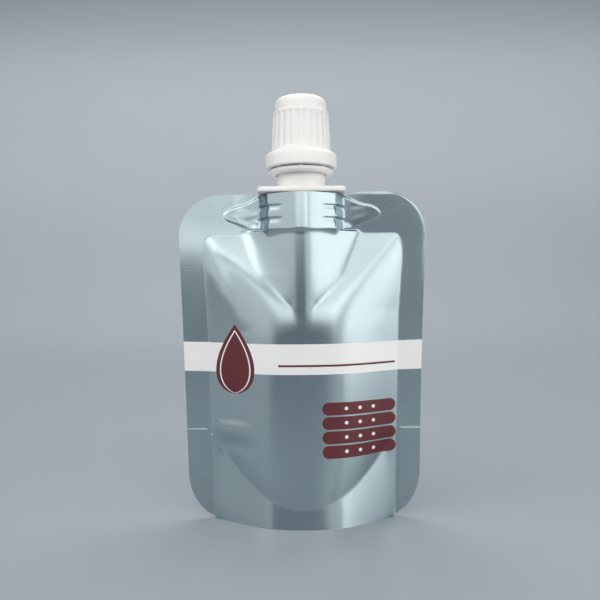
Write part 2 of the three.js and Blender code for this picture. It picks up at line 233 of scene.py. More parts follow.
def fill_depth(x, z):
    """The liquid: one minus a power of the place across, times a thickness that grows downwards, under the
    top facet and under a facet at each side that rises from its seal and is steeper further down; the seal
    gives way a little towards the top."""
    thickening = (BASE_DEPTH - WAIST_DEPTH) * np.clip(1 - z / WAIST_HEIGHT, 0, 1) ** THICKENING_POWER
    edge = chamber_edge(z) + TOP_FLARE * share_of(z, FLARE_FROM, CHAMBER_TOP - FLARE_FROM)
    lens = (WAIST_DEPTH + thickening) * (1 - (np.abs(x) / edge) ** LENS_POWER)
    steepening = np.where(x < 0, STEEPENING_LEFT, STEEPENING_RIGHT)
    slope = np.where(x < 0, SIDE_SLOPE_LEFT, SIDE_SLOPE_RIGHT) + steepening * (CHAMBER_TOP - z)
    side = slope * (edge - np.abs(x))
    return lower_of(lower_of(lens, facet_depth(x, z), HIP_ROUND), side, SIDE_ROUND)


def ridge_fall(x):
    """How far film that is drawn over the spout lies below its crest: a hyperbola, so a round ridge between
    two flat sides."""
    return RIDGE_SLOPE * (np.hypot(x, RIDGE_WIDTH) - RIDGE_WIDTH)


def tube_depth(x, z):
    """The tube below the weld: the ridge between two steeper sides; its crest hardly rises downwards, so
    the facet and then the fill rise past it."""
    drop = np.clip(WELD_BOTTOM - z, 0, None)
    ridge = TUBE_DEPTH + TUBE_RISE * drop - ridge_fall(x)
    tube = lower_of(ridge, TUBE_SIDE * (TUBE_HALF_WIDTH - np.abs(x)), TUBE_ROUND)
    return np.where(drop > 0, tube, -TUBE_DEPTH)


def groove_bell(rise):
    """How deep film lies in a groove, by the height over its middle: a bell, narrow above, wide below."""
    return np.exp(-((rise / np.where(rise > 0, GROOVE_ABOVE, GROOVE_BELOW)) ** 2))


def barrel_depth(x, z):
    """Film over the spout's barrel: the ridge between two steep sides, tapering upwards; it dips into the
    grooves at the sides, more sharply above than below, and falls steeply below the weld."""
    dips = sum(groove_bell(z - groove) for groove in GROOVES)
    at_side = share_of(np.abs(x), GROOVE_FROM, GROOVE_RUN)
    taper = BARREL_TAPER * np.clip(z - WELD_BOTTOM, 0, None)
    ridge = BARREL_DEPTH - taper - ridge_fall(x) - GROOVE_DIP * dips * at_side
    side = BARREL_SIDE * (BARREL_HALF_WIDTH - GROOVE_NOTCH * dips - np.abs(x))
    depth = lower_of(ridge, side, BARREL_ROUND)
    return depth - LEDGE_SLOPE * np.clip(WELD_BOTTOM - z, 0, None)


def foot_depth(x, z):
    """Film over the square foot of the weld base: a low block with steep sides."""
    beside = np.clip(np.abs(x) - FOOT_HALF_WIDTH, 0, None)
    above = np.clip(z - WELD_BOTTOM - FOOT_HEIGHT, 0, None)
    below = np.clip(WELD_BOTTOM - z, 0, None)
    return FOOT_DEPTH - FOOT_SLOPE * (beside + above + below)


def wing_depth(x, z):
    """Film over the two wings: a fan with a round tip and a slightly wavy outline, which tapers in depth
    towards the tip, with sloping sides."""
    out = share_of(np.abs(x), WING_ROOT, WING_REACH - WING_ROOT)
    fan = WING_TIP_HALF + (WING_ROOT_HALF - WING_TIP_HALF) * (1 - out)
    wavy = 1 + WING_WAVE * np.sin(WING_WAVE_ANGLE * out + np.sign(z - WELD_MIDDLE))
    half_height = fan * wavy * np.sqrt(1 - out**WING_TIP_POWER)
    past_tip = np.clip(np.abs(x) - WING_REACH, 0, None)
    side = WING_SLOPE * (half_height - np.abs(z - WELD_MIDDLE) - past_tip)
    return lower_of(WING_DEPTH - WING_TAPER * np.abs(x), side, WING_ROUND)


def seam_height(x):
    """The curved seam of the base: a parabola from the skirt's height up to the fold at the side seals."""
    return SKIRT_HEIGHT + (FOLD_HEIGHT - SKIRT_HEIGHT) * (x / chamber_edge(FOLD_HEIGHT)) ** 2


def crease(x, z, start_x, start_z, end_x, end_z, height, width):
    """A soft ridge, or a valley for a height below zero: a bell across a line, a half sine along it."""
    length = math.hypot(end_x - start_x, end_z - start_z)
    along_x = (end_x - start_x) / length
    along_z = (end_z - start_z) / length
    along = ((x - start_x) * along_x + (z - start_z) * along_z) / length
    across = ((x - start_x) * along_z - (z - start_z) * along_x) / width
    return height * np.sin(math.pi * np.clip(along, 0, 1)) * np.exp(-(across**2))


def film_bend(x, z):
    """How far the seals bend back from an upright plane: the top seal is twisted, back on the left and a
    little forward on the right, the side seals wave, and the cut edge rolls back at the upper right."""
    aside = smooth_step(share_of(np.abs(x), LEAN_FROM, LEAN_RUN))
    over = z - LEAN_HEIGHT
    twist = np.where(x < 0, LEAN_SLOPE_LEFT, LEAN_SLOPE_RIGHT) * aside
    lean = twist * (np.hypot(over, LEAN_ROUND) + over) / 2
    seal = share_of(np.abs(x), WAVE_FROM, WAVE_RUN) ** 2
    phase = np.where(x < 0, WAVE_PHASE_LEFT, WAVE_PHASE_RIGHT)
    wave = SEAL_WAVE * seal * np.sin(z / WAVE_STEP + phase)
    inset = np.minimum(film_edge(z) - np.abs(x), FILM_HEIGHT - z)
    upper_right = share_of(x, ROLL_FROM, ROLL_RUN) * share_of(z, ROLL_ABOVE, ROLL_RISE)
    roll = EDGE_ROLL * upper_right * np.clip(1 - inset / EDGE_WIDTH, 0, 1) ** 2
    return lean + wave + roll


def seam_dip(x, z):
    """How far the base's seam holds the film in: more towards the sides; the skirt below it flares evenly
    out to the bottom edge, and the film above it swells out again over a few millimetres."""
    across = np.abs(x) / chamber_edge(FOLD_HEIGHT)
    dip = (SEAM_DIP + SEAM_SIDE_DIP * across**2) * np.clip(1 - across**SEAM_END_POWER, 0, 1)
    seam = seam_height(x)
    return dip * np.where(z < seam, z / seam, np.exp(-np.clip(z - seam, 0, None) / SEAM_RISE))


def film_fill(x, z):
    """How far a panel stands off the seals: fill and tube, joined by a round that shrinks where the facet
    comes up to the tube's crest, and held in along the base's curved seam."""
    above_facet = TUBE_DEPTH + TUBE_RISE * (WELD_BOTTOM - z) - facet_depth(0, z)
    blend = TUBE_ROUND * np.clip(above_facet / TUBE_FADE, TUBE_LEAST_ROUND, 1)
    fill = higher_of(fill_depth(x, z), tube_depth(x, z), blend)
    held = fill - seam_dip(x, z) * fill / np.hypot(fill, SEAM_HOLD)
    return np.maximum(held, 0)


def film_weld(x, z):
    """How far a panel stands off the upright plane over the spout's barrel and foot."""
    return higher_of(barrel_depth(x, z), foot_depth(x, z), WELD_ROUND)


def film_relief(x, z, bend, creases):
    """How far a panel's outside is from the upright plane: the fill on the bent seals, joined with the
    wings, which bend nearly as far, and with the upright barrel, folded along the creases; and one ply,
    with most of a second at the side seals below the fold of the base."""
    winged = higher_of(film_fill(x, z) - bend, wing_depth(x, z) - WING_LEAN * bend, WING_FILLET)
    relief = higher_of(winged, film_weld(x, z), WELD_ROUND)
    folds = sum(crease(x, z, *np.array(line) * MM) for line in creases)
    stands = np.clip((relief + bend) / CREASE_FADE, 0, 1)
    at_side = np.clip((np.abs(x) - chamber_edge(z)) / FOLD_SIDE_STEP + 0.5, 0, 1)
    below_fold = np.clip((FOLD_HEIGHT - z) / FOLD_STEP + 0.5, 0, 1)
    return relief + folds * stands + PLY * (1 + FOLD_SHARE * at_side * below_fold)


def flat_share(x, z):
    """One where both films lie flat on each other in a seal, none where anything stands between them."""
    stands = np.maximum(np.maximum(film_fill(x, z), wing_depth(x, z)), film_weld(x, z))
    return 1 - np.clip(stands / SEAL_FADE, 0, 1)


def film_grid():
    """Places across and up the film: rows that close up towards the round corners, and in each row columns
    over the chamber and over the two side seals. The rows dip towards the spout at the top edge."""
    quarter = np.linspace(0, math.pi / 2, CORNER_ROWS)
    base_rows = BASE_CORNER_HEIGHT * (1 - np.cos(quarter[::2]))
    middle_rows = np.linspace(BASE_CORNER_HEIGHT, CHAMBER_TOP, MIDDLE_ROWS)
    top_rows = FILM_HEIGHT - TOP_CORNER * (1 - np.sin(quarter))
    fold_rows = FOLD_HEIGHT + np.array([-1, 0, 1]) * FOLD_ROW_GAP
    rows = np.concatenate([base_rows, middle_rows, top_rows, fold_rows])
    z = np.unique(np.round(rows, MERGE_DIGITS))[:, None]
    across = np.linspace(-1, 1, CHAMBER_COLUMNS)
    outwards = np.linspace(0, 1, SEAL_COLUMNS + 1)[1:]
    edge = film_edge(z)
    inner = np.minimum(chamber_edge(z), CHAMBER_SHARE * edge)
    seal = inner + (edge - inner) * outwards
    x = np.concatenate([-seal[:, ::-1], inner * across, seal], axis=1)
    dip = SPOUT_DIP * (1 - smooth_step(share_of(np.abs(x), DIP_FOOT, DIP_RUN)))
    return x, z - dip * share_of(z, CHAMBER_TOP, TOP_SEAL)


def grid_faces(rows, columns, wrap_rows=False, wrap_columns=False):
    """Corner numbers of a grid's four-sided faces, closed in either direction where asked."""
    row, column = np.meshgrid(
        np.arange(rows if wrap_rows else rows - 1),
        np.arange(columns if wrap_columns else columns - 1),
        indexing="ij",
    )
    next_row = (row + 1) % rows
    next_column = (column + 1) % columns
    corners = [
        row * columns + column,
        row * columns + next_column,
        next_row * columns + next_column,
        next_row * columns + column,
    ]
    return np.stack(corners, axis=-1).reshape(-1, 4)


def add_piece(name, mesh, material, body, node):
    """Puts a mesh into the scene as a piece that rides on a body and stands for a node of the solids."""
    piece = bpy.data.objects.new(name, mesh)
    bpy.context.scene.collection.objects.link(piece)
    mesh.materials.append(material)
    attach(piece, body)
    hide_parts(node)
    return piece


def film_sheet(name, x, y, z, sealed, material):
    """A film panel from its places on a grid: its outside as a smooth mesh with sharp cut edges, thickened
    inwards by one ply, with a map of its flat print and a share that says how flat it is sealed."""
    mesh = bpy.data.meshes.new(name)
    faces = grid_faces(*x.shape)
    mesh.from_pydata(np.stack([x, y, z], axis=-1).reshape(-1, 3).tolist(), [], faces.tolist())
    mesh.shade_smooth()
    flat = np.stack([x / FILM_WIDTH + 0.5, z / FILM_HEIGHT], axis=-1).reshape(-1, 2)
    mesh.uv_layers.new(name="film").data.foreach_set("uv", flat[faces.ravel()].ravel())
    mesh.attributes.new("sealed", "FLOAT", "POINT").data.foreach_set("value", sealed.ravel())
    border = np.ones(x.shape, bool)
    border[1:-1, 1:-1] = False
    ends = np.empty(2 * len(mesh.edges), int)
    mesh.edges.foreach_get("vertices", ends)
    sharp = border.ravel()[ends.reshape(-1, 2)].all(axis=1)
    mesh.attributes.new("sharp_edge", "BOOLEAN", "EDGE").data.foreach_set("value", sharp)
    piece = add_piece(name, mesh, material, "filled_pouch", "pouch")
    wall = piece.modifiers.new("ply", "SOLIDIFY")
    wall.thickness = PLY
    wall.offset = -1


class Shade:
    """A shader socket: arithmetic adds Math nodes, and node() adds any other node to the same material."""

    def __init__(self, tree, socket=None):
        self.tree = tree
        self.socket = socket

    def node(self, kind, settings=(), sockets=(), output=0):
        """Adds a node, sets its settings, then gives each named or numbered socket its value or link."""
        added = self.tree.nodes.new("ShaderNode" + kind)
        for name, value in dict(settings).items():
            setattr(added, name, value)
        for name, value in dict(sockets).items():
            if isinstance(value, Shade):
                self.tree.links.new(value.socket, added.inputs[name])
            else:
                added.inputs[name].default_value = value
        return Shade(self.tree, added.outputs[output])

    def math(self, operation, *values):
        return self.node("Math", {"operation": operation}, enumerate(values))

    def __add__(self, other):
        return self.math("ADD", self, other)

    def __radd__(self, other):
        return self.math("ADD", other, self)

    def __sub__(self, other):
        return self.math("SUBTRACT", self, other)

    def __rsub__(self, other):
        return self.math("SUBTRACT", other, self)

    def __mul__(self, other):
        return self.math("MULTIPLY", self, other)

    def __rmul__(self, other):
        return self.math("MULTIPLY", other, self)

    def __truediv__(self, other):
        return self.math("DIVIDE", self, other)

    def __pow__(self, other):
        return self.math("POWER", self, other)

    def __abs__(self):
        return self.math("ABSOLUTE", self)

    def rounded(self):
        return self.math("ROUND", self)

    def sine(self):
        return self.math("SINE", self)

    def hypot(self, other):
        return (self * self + other * other) ** 0.5

    def at_least(self, other):
        return self.math("MAXIMUM", self, other)

    def at_most(self, other):
        return self.math("MINIMUM", self, other)

    def under(self, edge, blur):
        """One where the value lies under an edge, none above it, with a soft step between."""
        limits = {"From Min": edge + blur / 2, "From Max": edge - blur / 2, "Value": self}
        return self.node("MapRange", {"interpolation_type": "SMOOTHSTEP"}, limits)

    def blend(self, first, second):
        """The first colour where this mask is none, the second where it is one."""
        return self.node("Mix", {"data_type": "RGBA"}, {0: self, 6: first, 7: second}, 2)

    def noise(self, scale, detail):
        """Soft noise over the piece, by its scale and how many finer layers it has."""
        place = self.node("TexCoord", output=3)
        return self.node("TexNoise", {}, {"Vector": place, "Scale": scale, "Detail": detail})

    def bump(self, shader):
        """Feeds this height, in millimetres, to a shader as a bump."""
        relief = self.node("Bump", {}, {"Strength": 1.0, "Distance": MM, "Height": self})
        relief.feed(shader, "Normal")

    def feed(self, shader, name):
        self.tree.links.new(self.socket, shader.inputs[name])


def new_finish(name):
    """A new material, with its shader node and a Shade that starts its node tree."""
    material = bpy.data.materials.new(name)
    material.use_nodes = True
    return material, material.node_tree.nodes["Principled BSDF"], Shade(material.node_tree)


# Film: colours, scale and detail of each noise, roughness, and heights of the bump in millimetres
FILM_TINT = (0.36, 0.44, 0.478, 1)
FILM_SHADE = (0.33, 0.41, 0.448, 1)
FILM_CLOUD = (160.0, 3.0)
FILM_GRAIN = (2600.0, 2.0)
FILM_SWELL = (95.0, 1.0)
FILM_ROUGHNESS = 0.19
CLOUD_ROUGHNESS = 0.05
GRAIN_ROUGHNESS = 0.03
INK_ROUGHNESS = 0.16
SEAL_ROUGHNESS = 0.05
INK_COVER = 0.85
EMBOSS_TURN = 4.1  # radians for each millimetre
EMBOSS_HEIGHT = 0.0012
SWELL_HEIGHT = 0.05
GRAIN_HEIGHT = 0.0008

# Print, in millimetres across from the middle of the film and up from its foot
PRINT_WHITE = (0.80, 0.80, 0.81, 1)
PRINT_RED = (0.105, 0.012, 0.018, 1)
PRINT_EDGE = 0.08
BAND_MIDDLE = 38.7
BAND_RISE = 0.49
BAND_HALF_HEIGHT = 3.53
PILL_MIDDLE = 13.25
PILL_LOWEST = 17.3
PILL_PITCH = 3.3
PILL_COUNT = 4
PILL_RADIUS = 1.48
PILL_HALF_LENGTH = 7.5
DOT_PITCH = 3.3
DOT_RADIUS = 0.42
DROP_PLACE = -16.2
DROP_FOOT = 30.4
DROP_HEIGHT = 16.5
DROP_FULLNESS = 12.5
DROP_TRIM = 0.05
KEYLINE_INSET = 1.15
KEYLINE_HALF_WIDTH = 0.16
RULE_MIDDLE = 8.2
RULE_HALF_LENGTH = 14
RULE_DROP = 1.5
RULE_HALF_HEIGHT = 0.24


def film_finish(name, panel):
    """Satin metallised film: a blue-grey metal with a faint grain, a fine diamond emboss on the seals, and
    on the panels an opaque white band; the front also carries dark red bars, dots, a rule and a drop."""
    material, shader, start = new_finish(name)
    flat = start.node("UVMap", {"uv_map": "film"})
    x = (start.node("SeparateXYZ", {}, {0: flat}, 0) - 0.5) * (FILM_WIDTH / MM)
    z = start.node("SeparateXYZ", {}, {0: flat}, 1) * (FILM_HEIGHT / MM)
    cloud = start.noise(*FILM_CLOUD)
    grain = start.noise(*FILM_GRAIN)
    swell = start.noise(*FILM_SWELL)
    sealed = start.node("Attribute", {"attribute_name": "sealed"}, output=2)
    colour = cloud.blend(FILM_TINT, FILM_SHADE)
    ink = 0 * x
    if panel != "gusset":
        middle = BAND_MIDDLE + BAND_RISE * (x * x) / (FILM_WIDTH / 2 / MM) ** 2
        ink = abs(z - middle).under(BAND_HALF_HEIGHT, PRINT_EDGE)
        colour = ink.blend(colour, PRINT_WHITE)
    if panel == "front":
        bar = ((z - PILL_LOWEST) / PILL_PITCH).rounded().at_least(0).at_most(PILL_COUNT - 1)
        off_bar = z - PILL_LOWEST - PILL_PITCH * bar
        past = (abs(x - PILL_MIDDLE) - PILL_HALF_LENGTH).at_least(0)
        bars = past.hypot(off_bar).under(PILL_RADIUS, PRINT_EDGE)
        dot = ((x - PILL_MIDDLE) / DOT_PITCH).rounded().at_least(-1).at_most(1)
        off_dot = x - PILL_MIDDLE - DOT_PITCH * dot
        dots = off_dot.hypot(off_bar).under(DOT_RADIUS, PRINT_EDGE)
        rise = ((z - DROP_FOOT) / DROP_HEIGHT).at_least(0).at_most(1)
        half = DROP_FULLNESS * rise**0.5 * (1 - rise)
        inset = abs(x - DROP_PLACE) - half
        drop = inset.under(-DROP_TRIM, PRINT_EDGE)
        keyline = abs(inset + KEYLINE_INSET).under(KEYLINE_HALF_WIDTH, PRINT_EDGE) * drop
        below = abs(z - middle + RULE_DROP).under(RULE_HALF_HEIGHT, PRINT_EDGE)
        rule = below * abs(x - RULE_MIDDLE).under(RULE_HALF_LENGTH, PRINT_EDGE)
        red = bars.at_least(drop).at_least(rule)
        colour = red.blend(colour, PRINT_RED)
        colour = (dots * bars).at_least(keyline).blend(colour, PRINT_WHITE)
        ink = ink.at_least(red)
    colour.feed(shader, "Base Color")
    (1 - INK_COVER * ink).feed(shader, "Metallic")
    roughness = FILM_ROUGHNESS + CLOUD_ROUGHNESS * cloud + GRAIN_ROUGHNESS * grain
    (roughness + INK_ROUGHNESS * ink + SEAL_ROUGHNESS * sealed).feed(shader, "Roughness")
    diamonds = ((x + z) * EMBOSS_TURN).sine() * ((x - z) * EMBOSS_TURN).sine()
    emboss = EMBOSS_HEIGHT * diamonds * sealed
    (emboss + SWELL_HEIGHT * swell + GRAIN_HEIGHT * grain).bump(shader)
    return material


# Each crease: where it starts and ends, across and up, then its height and its width, in millimetres
FRONT_CREASES = (
    (-29, 22, -10, 21.4, 0.62, 2.4),
    (-23, 18.4, -11, 18, -0.35, 1.6),
    (27, 21.6, 15, 20.2, 0.06, 1.3),
    (-25, 67, -14.5, 45, 0.5, 2.8),
    (24, 65, 18, 44, 0.1, 2.2),
    (-22.6, 58.5, -18, 53.5, -0.03, 0.8),
    (-22.4, 55, -19, 48.5, 0.03, 0.7),
    (-17.5, 75.6, -11, 74.4, -0.2, 0.7),
    (-16, 72.2, -10.6, 73.6, 0.2, 0.7),
    (-18.2, 73.4, -11.8, 71, -0.16, 0.7),
    (11.5, 75, 16.6, 75.4, -0.16, 0.7),
    (11.8, 71.4, 16.5, 73, 0.16, 0.7),
    (10.1, 68.5, 10.1, 79, 0.22, 0.45),
    (-10, 71.5, -10, 79, 0.1, 0.45),
)
BACK_CREASES = (
    (27, 21.7, 14.5, 19.8, 0.42, 1.3),
    (-27, 21.6, -15, 20.2, 0.25, 1.3),
    (24, 66, 16, 48, 0.24, 1.7),
    (-24, 65, -17.5, 46, 0.2, 2),
    (17.2, 75.4, 12.4, 74.4, -0.12, 0.6),
    (-16.5, 72, -11.8, 73.6, 0.12, 0.6),
    (-10.1, 69.5, -10.1, 79, 0.2, 0.45),
)

film_x, film_z = film_grid()
bend = film_bend(film_x, film_z)
sealed = flat_share(film_x, film_z)
front_y = -film_relief(film_x, film_z, bend, FRONT_CREASES)
front_finish = film_finish("film_printed_front", "front")
film_sheet("film_front", film_x, front_y, film_z, sealed, front_finish)
back_y = film_relief(film_x, film_z, -bend, BACK_CREASES)
back_finish = film_finish("film_printed_back", "back")
back_grid = [grid[:, ::-1] for grid in (film_x, back_y, film_z, sealed)]
film_sheet("film_back", *back_grid, back_finish)


# Base gusset: a third panel of the same film, folded up between the other two and sealed to their skirts
# below a curved seam. The weight of the liquid makes it sag a little between the seams.
GUSSET_REACH = 0.985
GUSSET_SAG = 0.25
GUSSET_INSET = 2.1 * PLY
GUSSET_SKIRT_ROWS = 22
GUSSET_PANEL_ROWS = 42
GUSSET_COLUMNS = 120


def gusset_path(x):
    """Places up the hollow side of the front skirt, across the panel and down the back skirt, for each
    place across: the skirts lie two plies inside the film, and the panel hangs in a parabola between."""
    into_corner = share_of(np.abs(x), film_edge(0.0), BASE_CORNER_WIDTH)
    foot = BASE_CORNER_HEIGHT * (1 - np.sqrt(1 - into_corner**2))
    seam = seam_height(x)
    up = np.linspace(0, 1, GUSSET_SKIRT_ROWS)[:, None]
    skirt_z = foot + (seam - foot) * up
    skirt_x = x + 0 * up
    bend = film_bend(skirt_x, skirt_z)
    front = GUSSET_INSET - film_relief(skirt_x, skirt_z, bend, FRONT_CREASES)
    back = film_relief(skirt_x, skirt_z, -bend, BACK_CREASES) - GUSSET_INSET
    over = np.linspace(0, 1, GUSSET_PANEL_ROWS + 2)[1:-1, None]
    panel_y = front[-1] + (back[-1] - front[-1]) * over
    panel_z = seam - GUSSET_SAG * (seam - foot) * 4 * over * (1 - over)
    y = np.concatenate([front, panel_y, back[::-1]])
    z = np.concatenate([skirt_z, panel_z, skirt_z[::-1]])
    return x + 0 * y, y, z


gusset_across = np.linspace(1, -1, GUSSET_COLUMNS) * GUSSET_REACH * chamber_edge(FOLD_HEIGHT)
gusset_x, gusset_y, gusset_z = gusset_path(gusset_across)
gusset_finish = film_finish("film_plain", "gusset")
film_sheet("film_gusset", gusset_x, gusset_y, gusset_z, 0 * gusset_x, gusset_finish)


# Spout: one white polyethylene moulding. Its ribbed barrel and two wings are welded between the films;
# above the flange a plain neck carries the bead that keeps the tamper ring down, a thread and a thin lip.
BORE_RADIUS = 4.3 * MM
WELD_RADIUS = 7.2 * MM
WELD_TOP = WELD_BOTTOM + WELD_HEIGHT
WELD_GROOVE_DEPTH = 0.7 * MM
WELD_GROOVE_HALF = 0.6 * MM
CLEARANCE = 0.3 * MM
FLANGE_THICKNESS = 1.2 * MM
FLANGE_BOTTOM = FILM_HEIGHT - SPOUT_DIP + CLEARANCE
FLANGE_TOP = FLANGE_BOTTOM + FLANGE_THICKNESS
FLANGE_HALF_WIDTH = 10.5 * MM
FLANGE_HALF_DEPTH = 5.99 * MM
FLANGE_CORNER = 1.6 * MM
FLANGE_ROUND = 0.35 * MM
FLANGE_SIDES = 48
FLANGE_EDGE_STEPS = 6
FLANGE_INNER_SHARE = 0.6
NECK_RADIUS = 5.74 * MM
BEAD_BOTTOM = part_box("tamper_ring")[1].z + CLEARANCE
BEAD_RADIUS = 6.39 * MM
BEAD_HEIGHT = 1 * MM
THREAD_ROOT = 5.5 * MM
THREAD_PITCH = 3 * MM
THREAD_HEIGHT = 0.4 * MM
THREAD_HALF_WIDTH = 0.17  # in pitches
THREAD_FLANK = 0.07  # in pitches
THREAD_FADE = 0.6 * MM
THREAD_INSET = 2.6 * MM
THREAD_BOTTOM = BEAD_BOTTOM + THREAD_INSET
THREAD_TOP = SPOUT_HIGH.z - THREAD_INSET
THREAD_RUN_OUT = 0.5 * MM
LIP_RADIUS = 5 * MM
LIP_BEVEL = 0.2 * MM
LIP_TOP = SPOUT_HIGH.z
BORE_WALL = 0.5 * MM
SPOUT_ROUND = 0.15 * MM
SPOUT_SPACING = 0.25 * MM
SPOUT_SIDES = 128
WING_TIP = SPOUT_HIGH.x
WING_BODY_HALF_HEIGHT = 2.1 * MM
WING_BODY_HALF_DEPTH = 0.42 * MM
WING_BODY_TAPER = 0.36 * MM
WING_BODY_HEIGHT_POWER = 4
WING_BODY_DEPTH_POWER = 12
WING_BODY_SECTION_POWER = 0.6
WING_BODY_SIDES = 40
WING_BODY_STEPS = 61
ROUND_LIMIT = 0.45
ROUND_POINTS = 6
MERGE_DISTANCE = 1e-7
SHARP_ANGLE = 40  # degrees

# Plastic: colours, scale and detail of each noise, roughness, and heights of the bump in millimetres
PLASTIC_WHITE = (0.88, 0.875, 0.865, 1)
PLASTIC_WARM = (0.86, 0.85, 0.835, 1)
PLASTIC_CLOUD = (210.0, 3.0)
PLASTIC_GRAIN = (3400.0, 2.0)
PLASTIC_ROUGHNESS = 0.34
PLASTIC_CLOUD_ROUGHNESS = 0.1
PLASTIC_GRAIN_ROUGHNESS = 0.06
PLASTIC_CLOUD_HEIGHT = 0.012
PLASTIC_GRAIN_HEIGHT = 0.0025
PLASTIC_GLOW = 0.25
PLASTIC_GLOW_SPREAD = (1.0, 0.9, 0.8)
PLASTIC_GLOW_DEPTH = 3 * MM


def plastic_finish(name):
    """Moulded white polyethylene: a slightly uneven warm white, satin, with a faint spark-eroded texture
    and a little light passing through it."""
    material, shader, start = new_finish(name)
    cloud = start.noise(*PLASTIC_CLOUD)
    grain = start.noise(*PLASTIC_GRAIN)
    cloud.blend(PLASTIC_WHITE, PLASTIC_WARM).feed(shader, "Base Color")
    roughness = PLASTIC_ROUGHNESS + PLASTIC_CLOUD_ROUGHNESS * cloud + PLASTIC_GRAIN_ROUGHNESS * grain
    roughness.feed(shader, "Roughness")
    (PLASTIC_GRAIN_HEIGHT * grain + PLASTIC_CLOUD_HEIGHT * cloud).bump(shader)
    shader.inputs["Subsurface Weight"].default_value = PLASTIC_GLOW
    shader.inputs["Subsurface Radius"].default_value = PLASTIC_GLOW_SPREAD
    shader.inputs["Subsurface Scale"].default_value = PLASTIC_GLOW_DEPTH
    return material


def rounded_profile(corners, rounds, spacing, closed):
    """A profile of radius and height through corners: a quadratic curve over each corner, from the point
    one round before it to the point one round after it, and points at an even spacing in between."""
    corners = np.array(corners)
    back = np.roll(corners, 1, axis=0) - corners
    on = np.roll(corners, -1, axis=0) - corners
    back_length = np.hypot(*back.T)[:, None]
    on_length = np.hypot(*on.T)[:, None]
    rounds = np.broadcast_to(rounds, len(corners)).astype(float)[:, None].copy()
    if not closed:
        rounds[[0, -1]] = 0
    start = corners + back / back_length * np.minimum(rounds, back_length * ROUND_LIMIT)
    end = corners + on / on_length * np.minimum(rounds, on_length * ROUND_LIMIT)
    turn = np.linspace(0, 1, ROUND_POINTS)[None, :, None]
    curves = (
        (1 - turn) ** 2 * start[:, None]
        + 2 * turn * (1 - turn) * corners[:, None]
        + turn**2 * end[:, None]
    )
    points = curves.reshape(-1, 2)
    if closed:
        points = np.concatenate([points, points[:1]])
    lengths = np.concatenate([[0], np.cumsum(np.hypot(*np.diff(points, axis=0).T))])
    stops = np.concatenate([lengths, np.arange(0, lengths[-1], spacing)])
    stops = np.unique(np.round(stops, MERGE_DIGITS))
    if closed:
        stops = stops[:-1]
    return np.interp(stops, lengths, points[:, 0]), np.interp(stops, lengths, points[:, 1])


def turned_mesh(name, radius, height, closed):
    """A turned surface from radii and heights on a grid of profile points and angles: the radius goes round
    the spout's axis. Poles are merged, and faces point away from the material."""
    sides = radius.shape[1]
    turn = np.linspace(0, 2 * math.pi, sides, endpoint=False)
    points = np.stack([radius * np.cos(turn), radius * np.sin(turn), height + 0 * radius], axis=-1)
    faces = grid_faces(len(radius), sides, wrap_rows=closed, wrap_columns=True)
    return closed_mesh(name, points, faces)


def closed_mesh(name, points, faces):
    """A smooth closed mesh with sharp edges where it turns by more than the sharp angle, in degrees."""
    mesh = bpy.data.meshes.new(name)
    mesh.from_pydata(points.reshape(-1, 3).tolist(), [], faces.tolist())
    work = bmesh.new()
    work.from_mesh(mesh)
    bmesh.ops.remove_doubles(work, verts=work.verts, dist=MERGE_DISTANCE)
    bmesh.ops.recalc_face_normals(work, faces=work.faces)
    work.to_mesh(mesh)
    work.free()
    mesh.shade_smooth()
    mesh.set_sharp_from_angle(angle=math.radians(SHARP_ANGLE))
    return mesh


def thread_ridge(turn, height, phase):
    """A right-hand thread: a rounded ridge wherever the height, in pitches, less the turn is near a whole
    number, fading in and out at its two ends."""
    winding = height / THREAD_PITCH - turn / (2 * math.pi) + phase
    off = np.abs(winding - np.round(winding))
    ridge = np.clip((THREAD_HALF_WIDTH - off) / THREAD_FLANK + 0.5, 0, 1)
    fade_in = np.clip((height - THREAD_BOTTOM) / THREAD_FADE, 0, 1)
    fade_out = np.clip((THREAD_TOP - height) / THREAD_FADE, 0, 1)
    return THREAD_HEIGHT * ridge * fade_in * fade_out


white_plastic = plastic_finish("white_polyethylene")

groove_corners = [
    (WELD_RADIUS - WELD_GROOVE_DEPTH * inside, groove + WELD_GROOVE_HALF * side)
    for groove in GROOVES
    for side, inside in ((-1, 0), (-1, 1), (1, 1), (1, 0))
]
spout_corners = [
    (BORE_RADIUS, WELD_BOTTOM),
    (WELD_RADIUS, WELD_BOTTOM),
    *groove_corners,
    (WELD_RADIUS, WELD_TOP),
    (NECK_RADIUS, WELD_TOP),
    (NECK_RADIUS, BEAD_BOTTOM),
    (BEAD_RADIUS, BEAD_BOTTOM + BEAD_HEIGHT / 4),
    (BEAD_RADIUS, BEAD_BOTTOM + BEAD_HEIGHT / 2),
    (THREAD_ROOT, BEAD_BOTTOM + BEAD_HEIGHT),
    (THREAD_ROOT, THREAD_TOP + THREAD_RUN_OUT),
    (LIP_RADIUS, THREAD_TOP + 2 * THREAD_RUN_OUT),
    (LIP_RADIUS, LIP_TOP - LIP_BEVEL),
    (LIP_RADIUS - LIP_BEVEL, LIP_TOP),
    (BORE_RADIUS, LIP_TOP),
]
spout_radius, spout_height = rounded_profile(spout_corners, SPOUT_ROUND, SPOUT_SPACING, True)
spout_turn = np.linspace(0, 2 * math.pi, SPOUT_SIDES, endpoint=False)
on_thread = (spout_radius > BORE_RADIUS + BORE_WALL)[:, None]
spout_thread = thread_ridge(spout_turn, spout_height[:, None], 0.0) * on_thread
spout_mesh = turned_mesh("spout_body", spout_radius[:, None] + spout_thread, spout_height[:, None], True)
add_piece("spout_body", spout_mesh, white_plastic, "filled_pouch", "spout")


